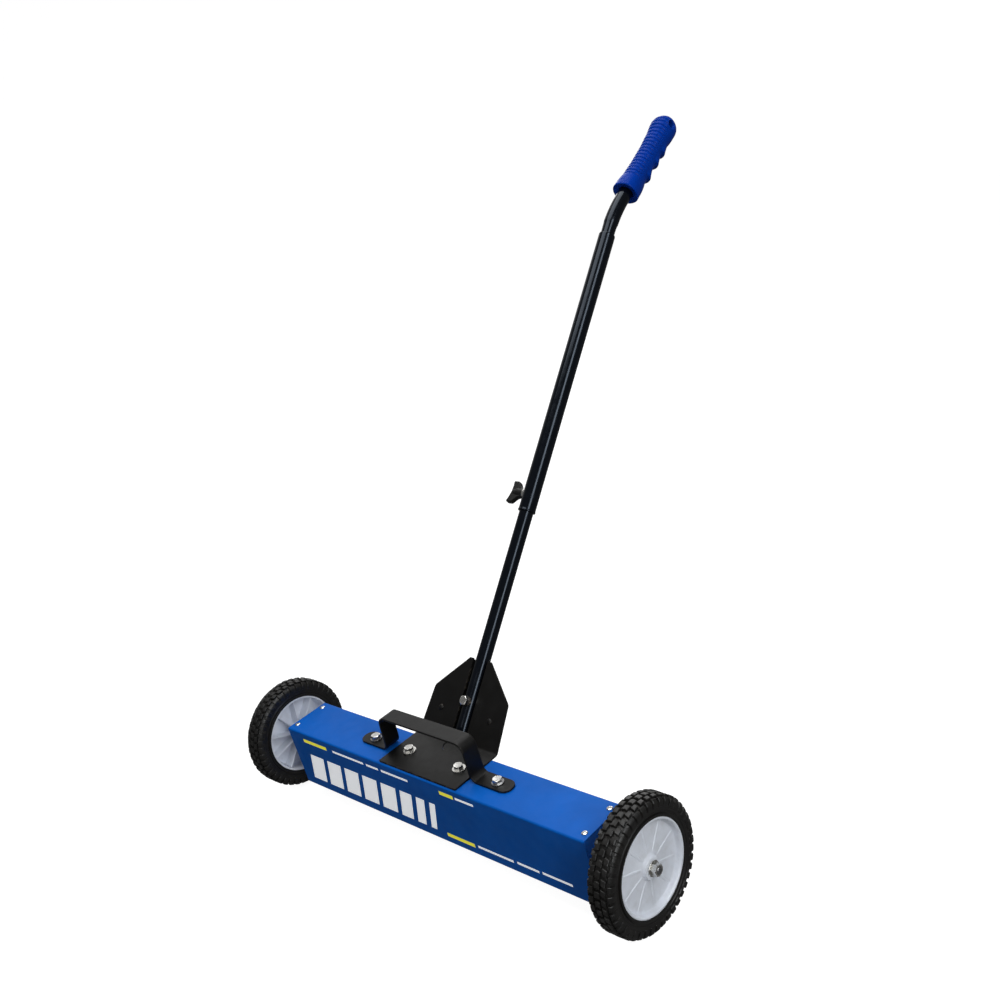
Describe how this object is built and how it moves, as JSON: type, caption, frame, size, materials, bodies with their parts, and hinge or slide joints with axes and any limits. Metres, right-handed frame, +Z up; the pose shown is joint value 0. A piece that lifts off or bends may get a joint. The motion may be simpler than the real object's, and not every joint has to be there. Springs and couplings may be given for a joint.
{
  "type": "magnetic sweeper",
  "caption": "Wheeled magnetic floor sweeper: sheet housing with lift-off magnet bar, strap release handle and telescoping push handle with bent grip.",
  "frame": {"origin": "on the ground, under the middle of the axle", "axes": "+X along the axle, +Y back towards the user, the way the handle leans, +Z up"},
  "size_m": [0.7786, 0.9313, 0.8919],
  "materials": {
    "blue_paint": "satin powder coat",
    "black_paint": "satin powder coat",
    "tube_enamel": "gloss enamel",
    "zinc": "bright zinc plate",
    "pan_sheet": "mill finish",
    "bare_steel": "oiled",
    "ferrite": "matte sintered",
    "hub_plastic": "moulded",
    "tyre_rubber": "matte",
    "grip_vinyl": "satin",
    "knob_plastic": "moulded"
  },
  "bodies": {
    "chassis": {"housing_cover": "blue_paint", "end_plate_left": "blue_paint", "end_plate_right": "blue_paint", "cover_screws": "zinc", "bottom_pan": "pan_sheet", "pan_screws": "zinc", "mounting_bracket": "black_paint", "tube_channel": "black_paint", "channel_rivets": "black_paint", "bracket_bolts": "zinc", "bracket_washers": "zinc", "bracket_nuts": "zinc", "saddle_washer": "black_paint", "tube_bolt": "zinc", "tube_bolt_nut": "zinc", "lower_tube": "tube_enamel", "axle_bolt_left": "zinc", "axle_bolt_right": "zinc", "axle_jam_nuts": "zinc", "axle_spacers": "zinc", "axle_washers": "zinc", "axle_nuts": "zinc"},
    "left_wheel": {"wheel_hub_left": "hub_plastic", "tyre_left": "tyre_rubber"},
    "right_wheel": {"wheel_hub_right": "hub_plastic", "tyre_right": "tyre_rubber"},
    "magnet_release": {"magnet_carrier": "bare_steel", "magnet_blocks": "ferrite", "release_strap": "black_paint", "release_bolts": "zinc", "release_washers": "zinc", "spacer_sleeves": "zinc", "release_nuts": "zinc"},
    "upper_handle": {"upper_tube": "tube_enamel", "knob_boss": "zinc", "neck_tube": "tube_enamel", "hand_grip": "grip_vinyl"},
    "clamp_stud": {"lock_stud": "zinc"},
    "clamp_knob": {"wing_knob": "knob_plastic"}
  },
  "joints": [
    {"name": "left_wheel_spin", "type": "hinge", "parent": "chassis", "child": "left_wheel", "pos_m": [-0.362, 0, 0.089], "axis": [1, 0, 0], "continuous": true},
    {"name": "right_wheel_spin", "type": "hinge", "parent": "chassis", "child": "right_wheel", "pos_m": [0.362, 0, 0.089], "axis": [1, 0, 0], "continuous": true},
    {"name": "magnet_lift", "type": "slide", "parent": "chassis", "child": "magnet_release", "axis": [0, 0, 1], "range_m": [0, 0.055]},
    {"name": "handle_telescope", "type": "slide", "parent": "chassis", "child": "upper_handle", "axis": [0, 0.682, 0.7314], "range_m": [-0.215, 0.045]},
    {"name": "clamp_stud_slide", "type": "slide", "parent": "upper_handle", "child": "clamp_stud", "axis": [-1, 0, 0], "range_m": [0, 0.0025]},
    {"name": "clamp_knob_turn", "type": "hinge", "parent": "clamp_stud", "child": "clamp_knob", "pos_m": [0, 0.31689, 0.41584], "axis": [-1, 0, 0], "range_deg": [0, 720]}
  ],
  "couplings": [
    {"joint": "clamp_knob_turn", "follows": "clamp_stud_slide", "rad_per_m": 5026.5}
  ]
}
